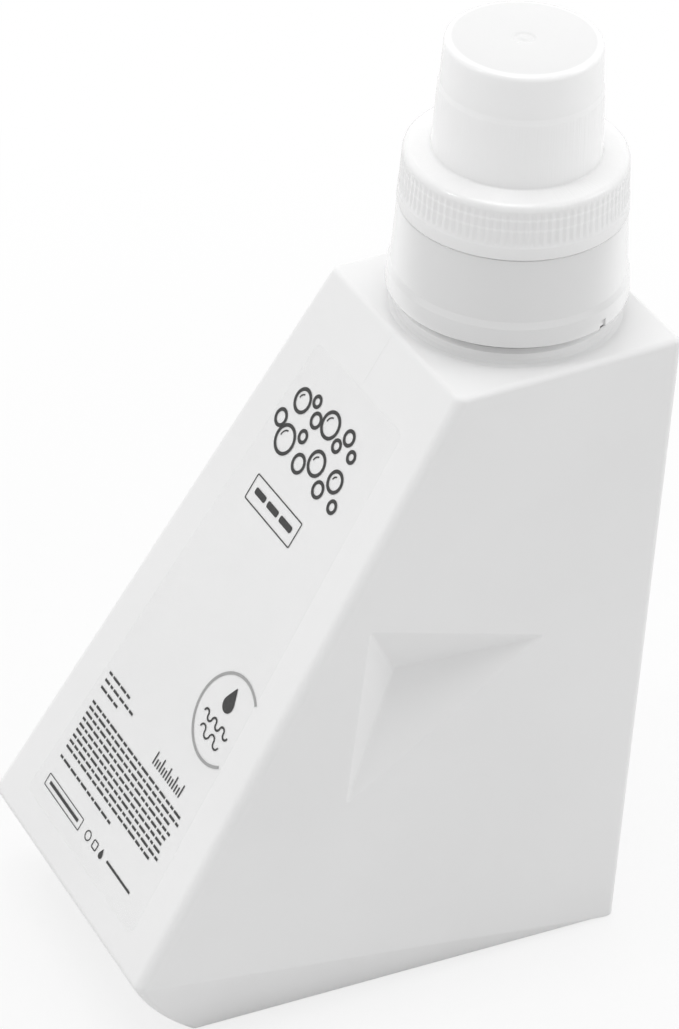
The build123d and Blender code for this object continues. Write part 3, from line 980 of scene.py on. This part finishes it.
@dataclass
class Label:
    """The clear film on the front face, with its generic print.

    Args:
        film: Upper and lower end of the film, down from the front face's top edge.
        widths: The film's half width at its two ends.
        rounding: Radius of its corners.
        lift: Distance of the film from the face.
        thickness: The film's thickness.
        ink_lift: Distance of the print from the face.
    """

    film: tuple[float, float] = (14.2, 141.0)
    widths: tuple[float, float] = (19.0, 27.4)
    rounding: float = 2.0
    lift: float = 0.025
    thickness: float = 0.05
    ink_lift: float = 0.1

    def plane(self, axis_y: float) -> Matrix:
        """The front face's place, with its axes across, up and out."""
        lean = math.radians(FACE_SLOPE)
        up = Vector((0.0, math.sin(lean), math.cos(lean)))
        out = Vector((0.0, -math.cos(lean), math.sin(lean)))
        place = Matrix((Vector((1.0, 0.0, 0.0)), up, out)).transposed().to_4x4()
        place.translation = Vector((0.0, axis_y - FACE_FRONT, TOP_FACE))
        return place

    def clear_film(self, plane: Matrix) -> BMesh:
        """The film as a thin closed piece.

        Args:
            plane: The face's place.

        Returns:
            The mesh.
        """
        form = bmesh.new()
        verts = bmesh.ops.create_grid(form, x_segments=1, y_segments=1, size=1.0)["verts"]
        for vert in verts:
            upper = vert.co.y > 0
            vert.co.x *= self.widths[0 if upper else 1]
            vert.co.y = -self.film[0 if upper else 1]
        bmesh.ops.bevel(
            form, geom=verts, offset=self.rounding, offset_type="OFFSET", affect="VERTICES", segments=6,
            profile=0.5, material=-1,
        )
        made = bmesh.ops.extrude_face_region(form, geom=form.faces[:])["geom"]
        raised = [item for item in made if isinstance(item, BMVert)]
        bmesh.ops.translate(form, vec=(0.0, 0.0, self.thickness), verts=raised)
        bmesh.ops.recalc_face_normals(form, faces=form.faces)
        bmesh.ops.translate(form, vec=(0.0, 0.0, self.lift), verts=form.verts)
        bmesh.ops.transform(form, matrix=plane, verts=form.verts)
        return form

    def title(self) -> Sheet:
        """Bubbles at the head of the label."""
        sheet = Sheet()
        bubbles = [
            (-13.6, 26.2, 2.6), (-9.3, 23.8, 1.2), (-6.6, 27.0, 1.6), (-1.8, 25.2, 2.9), (3.2, 27.4, 1.3),
            (5.4, 24.0, 1.6), (9.0, 26.6, 1.2), (-17.0, 32.6, 1.8), (-12.2, 35.4, 3.2), (-7.6, 31.8, 1.3),
            (-4.4, 36.8, 2.0), (0.6, 33.6, 2.7), (5.2, 37.4, 1.7), (8.6, 33.2, 2.3), (11.8, 37.6, 1.3),
        ]
        glint_from, glint_inset = 2.0, 1.25
        for across, down, radius in bubbles:
            sheet.arc(across, down, radius, 0.85)
            if radius > glint_from:
                sheet.arc(across, down, radius - glint_inset, 0.35, 100.0, 80.0)
        return sheet

    def box_mark(self) -> Sheet:
        """An outlined box with dashes, under the title."""
        sheet = Sheet()
        sheet.outline(-14.0, 45.3, 6.7, 51.8, 0.3)
        for left, right in ((-12.0, -7.4), (-6.4, -1.6), (-0.6, 4.7)):
            sheet.bar(left, 47.7, right, 49.3, 0.5)
        return sheet

    def ring_mark(self) -> Sheet:
        """A large ring in a lighter tone, open where it would run over the film's edge."""
        sheet = Sheet()
        sheet.arc(17.3, 89.8, 10.3, 0.7, 52.0, 256.0)
        return sheet

    def ring_content(self) -> Sheet:
        """A drop over waves, inside the ring."""
        sheet = Sheet()
        sheet.disc(16.0, 86.6, 2.0, 2.2)
        sheet.wave(10.4, 21.2, 92.0, 3, 0.5)
        sheet.wave(11.8, 20.2, 95.2, 2, 0.45)
        return sheet

    def scale_mark(self) -> Sheet:
        """A row of upright strokes, every third one longer."""
        sheet = Sheet()
        left, step, foot, stroke, long, short = 4.6, 1.05, 110.6, 0.45, 3.2, 1.9
        for number in range(13):
            across = left + number * step
            height = long if number % 3 == 0 else short
            sheet.bar(across, foot - height, across + stroke, foot)
        return sheet

    def small_print(self) -> Sheet:
        """Rows of tiny bars where the small print stands, and plain shapes below them."""
        sheet = Sheet()
        left, stroke, gap, shortest = -23.0, 0.62, 0.55, 0.8
        rows = [(105.0, -12.0), (107.0, -9.0), (109.0, -14.0)]
        rows += [(113.0 + 1.55 * number, 21.5 + 0.9 * math.sin(2.1 * number)) for number in range(9)]
        rows += [(128.2, 3.0)]
        for number, (down, right) in enumerate(rows):
            across, turn = left, 0
            while across < right - shortest:
                sway = 0.9 * (0.5 + 0.5 * math.sin(7.3 * turn + 3.1 * number))
                length = 1.0 + sway + 0.7 * ((turn * 5 + number) % 3)
                end = min(across + length, right)
                sheet.bar(across, down, end, down + stroke)
                across, turn = end + gap, turn + 1
        return sheet

    def foot_marks(self) -> Sheet:
        """A small box, three plain shapes and a line at the foot of the label."""
        sheet = Sheet()
        sheet.outline(-23.0, 133.4, -5.0, 136.6, 0.22)
        sheet.bar(-21.4, 134.6, -6.6, 135.4)
        sheet.arc(-1.2, 135.0, 1.1, 0.3)
        sheet.outline(1.3, 133.9, 3.5, 136.1, 0.3)
        sheet.disc(5.6, 135.4, 0.8, 0.9)
        sheet.bar(8.4, 134.6, 20.0, 135.2)
        return sheet

    def build(self, axis_y: float) -> None:
        """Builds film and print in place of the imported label.

        Args:
            axis_y: Where the neck's axis stands.
        """
        plane = self.plane(axis_y)
        film = ClearFilm().make("clear_film")
        piece = finished("label_film", self.clear_film(plane), film, Body.BOTTLE)
        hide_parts("label")
        dark = Ink(0.028, 0.05).make("dark_ink")
        soft = Ink(0.34, 0.42).make("grey_ink")
        fields = {
            "print_title": (self.title(), dark), "print_box": (self.box_mark(), dark),
            "print_ring": (self.ring_mark(), soft), "print_waves": (self.ring_content(), dark),
            "print_scale": (self.scale_mark(), dark), "print_small": (self.small_print(), dark),
            "print_foot": (self.foot_marks(), dark),
        }
        for name, (sheet, ink) in fields.items():
            finished(name, sheet.laid(plane, self.ink_lift), ink, Body.BOTTLE)


@dataclass(frozen=True)
class Lamp:
    """A soft lamp.

    Args:
        name: Its name.
        azimuth: Its direction about the vertical, in degrees from -Y towards +X.
        elevation: Its height above the horizon, in degrees.
        power: Its power in watts.
        size: Its width in metres.
        distance: Its distance in metres.
    """

    name: str
    azimuth: float
    elevation: float
    power: float
    size: float = 0.3
    distance: float = 2.0

    def build(self, target: Vector) -> None:
        """Places the lamp so that it faces a target.

        Args:
            target: What it shines at.
        """
        way = heading(self.azimuth, self.elevation)
        light = bpy.data.lights.new(self.name, "AREA")
        light.energy = self.power
        light.size = self.size
        thing = bpy.data.objects.new(self.name, light)
        turn = way.to_track_quat("Z", "Y").to_matrix().to_4x4()
        thing.matrix_world = Matrix.Translation(target + way * self.distance) @ turn
        bpy.context.scene.collection.objects.link(thing)


@dataclass
class Studio:
    """A white tent with its darker side towards +X, soft lamps, a floor and the camera.

    Args:
        azimuth: The camera's direction about the vertical, in degrees from -Y towards +X.
        elevation: Its height above the horizon, in degrees.
        roll: Turn of the picture, in degrees.
        focal: Focal length in pixels of a picture of the given size.
        size: The picture's size.
        aim: Offset of the aim from the middle of the bottle's top face, to the right and along Z, in metres.
        distance: From the camera to the aim, in metres.
        sensor: Width of the sensor, in millimetres.
        level: Light level of the tent.
        drift: Change of the level with the direction.
        lamps: The lamps.
        floor_shade: Linear level of the floor.
        fade: Where the floor starts and ends to turn into plain white, from the origin, in metres.
        white: Share of plain white at those two places.
    """

    azimuth: float = 60.71
    elevation: float = 36.38
    roll: float = 2.378
    focal: float = 3754.0
    size: tuple[int, int] = (679, 1029)
    aim: tuple[float, float] = (-0.03357, -0.05832)
    distance: float = 0.8361
    sensor: float = 36.0
    level: float = 0.80
    drift: tuple[float, float, float] = (-0.40, 0.24, 0.07)
    lamps: tuple[Lamp, ...] = (
        Lamp("lamp_left", -11.3, 41.5, 3.2),
        Lamp("lamp_right", 113.7, 47.0, 1.1),
        Lamp("lamp_high", 0.0, 84.0, 8.8, 1.0),
        Lamp("lamp_back", 150.0, 30.0, 3.9, 0.8),
    )
    floor_shade: float = 0.8
    fade: tuple[float, float] = (0.10, 0.35)
    white: tuple[float, float] = (0.75, 1.0)

    def camera(self, axis_y: float) -> None:
        """Sets up the camera.

        Args:
            axis_y: Where the neck's axis stands, in metres.
        """
        back = heading(self.azimuth, self.elevation)
        right = heading(self.azimuth + 90.0, 0.0)
        up = back.cross(right)
        aim = Vector((0.0, axis_y, TOP_FACE * MM + self.aim[1])) + right * self.aim[0]
        turn = math.radians(self.roll)
        across = right * math.cos(turn) + up * math.sin(turn)
        above = up * math.cos(turn) - right * math.sin(turn)
        matrix = Matrix((across, above, back)).transposed().to_4x4()
        matrix.translation = aim + back * self.distance
        lens = bpy.data.cameras.new("camera")
        lens.sensor_width = self.sensor
        lens.lens = self.focal / max(self.size) * self.sensor
        lens.clip_start = 0.01
        thing = bpy.data.objects.new("camera", lens)
        thing.matrix_world = matrix
        bpy.context.scene.collection.objects.link(thing)
        bpy.context.scene.camera = thing

    def world(self) -> None:
        """Lights the scene from all round, less from the side where the camera stands."""
        world = bpy.data.worlds.new("tent")
        bpy.context.scene.world = world
        world.use_nodes = True
        shader = Shader(world.node_tree)
        way = shader.node("ShaderNodeTexCoord", {}, {}, "Generated")
        settings = {"operation": "DOT_PRODUCT"}
        level = shader.node("ShaderNodeVectorMath", settings, {0: way, 1: self.drift}, "Value")
        level = level + self.level
        seen = shader.ray("Is Camera Ray")
        for name in ("Is Glossy Ray", "Is Transmission Ray"):
            seen = seen.larger(shader.ray(name))
        strength = seen + (1.0 - seen) * level
        light = shader.node("ShaderNodeBackground", {}, {"Color": grey(1.0), "Strength": strength})
        shader.finish("ShaderNodeOutputWorld", light)

    def floor(self) -> None:
        """Lays a white floor that keeps a soft shadow near the object."""
        form = bmesh.new()
        bmesh.ops.create_grid(form, x_segments=1, y_segments=1, size=6.0)
        mesh = bpy.data.meshes.new("floor")
        form.to_mesh(mesh)
        form.free()
        thing = bpy.data.objects.new("floor", mesh)
        bpy.context.scene.collection.objects.link(thing)
        material, shader = new_material("floor_white")
        x, y, _ = shader.place()
        far = (x * x + y * y).root().ramp(*self.fade, *self.white)
        paint = shader.node("ShaderNodeBsdfDiffuse", {}, {"Color": grey(self.floor_shade)})
        glow = shader.node("ShaderNodeEmission", {}, {"Color": grey(1.0), "Strength": 1.0})
        share = shader.ray("Is Camera Ray") * far
        surface = shader.node("ShaderNodeMixShader", {}, {0: share, 1: paint, 2: glow})
        shader.finish("ShaderNodeOutputMaterial", surface)
        mesh.materials.append(material)

    def build(self, axis_y: float) -> None:
        """Sets up camera, light and floor.

        Args:
            axis_y: Where the neck's axis stands, in metres.
        """
        self.camera(axis_y)
        self.world()
        self.floor()
        for lamp in self.lamps:
            lamp.build(Vector((0.0, axis_y, TOP_FACE * MM)))
        bpy.context.scene.view_settings.view_transform = "Standard"


def main() -> None:
    """Builds the pieces in order."""
    logging.basicConfig(level=logging.INFO, format="%(name)s %(message)s")
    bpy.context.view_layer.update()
    low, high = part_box("pouring_collar")
    axis_y = (low.y + high.y) / 2
    Studio().build(axis_y)
    for part in (Bottle(), Collar(), Cap(), Label()):
        part.build(axis_y / MM)


if __name__ == "__main__":
    main()
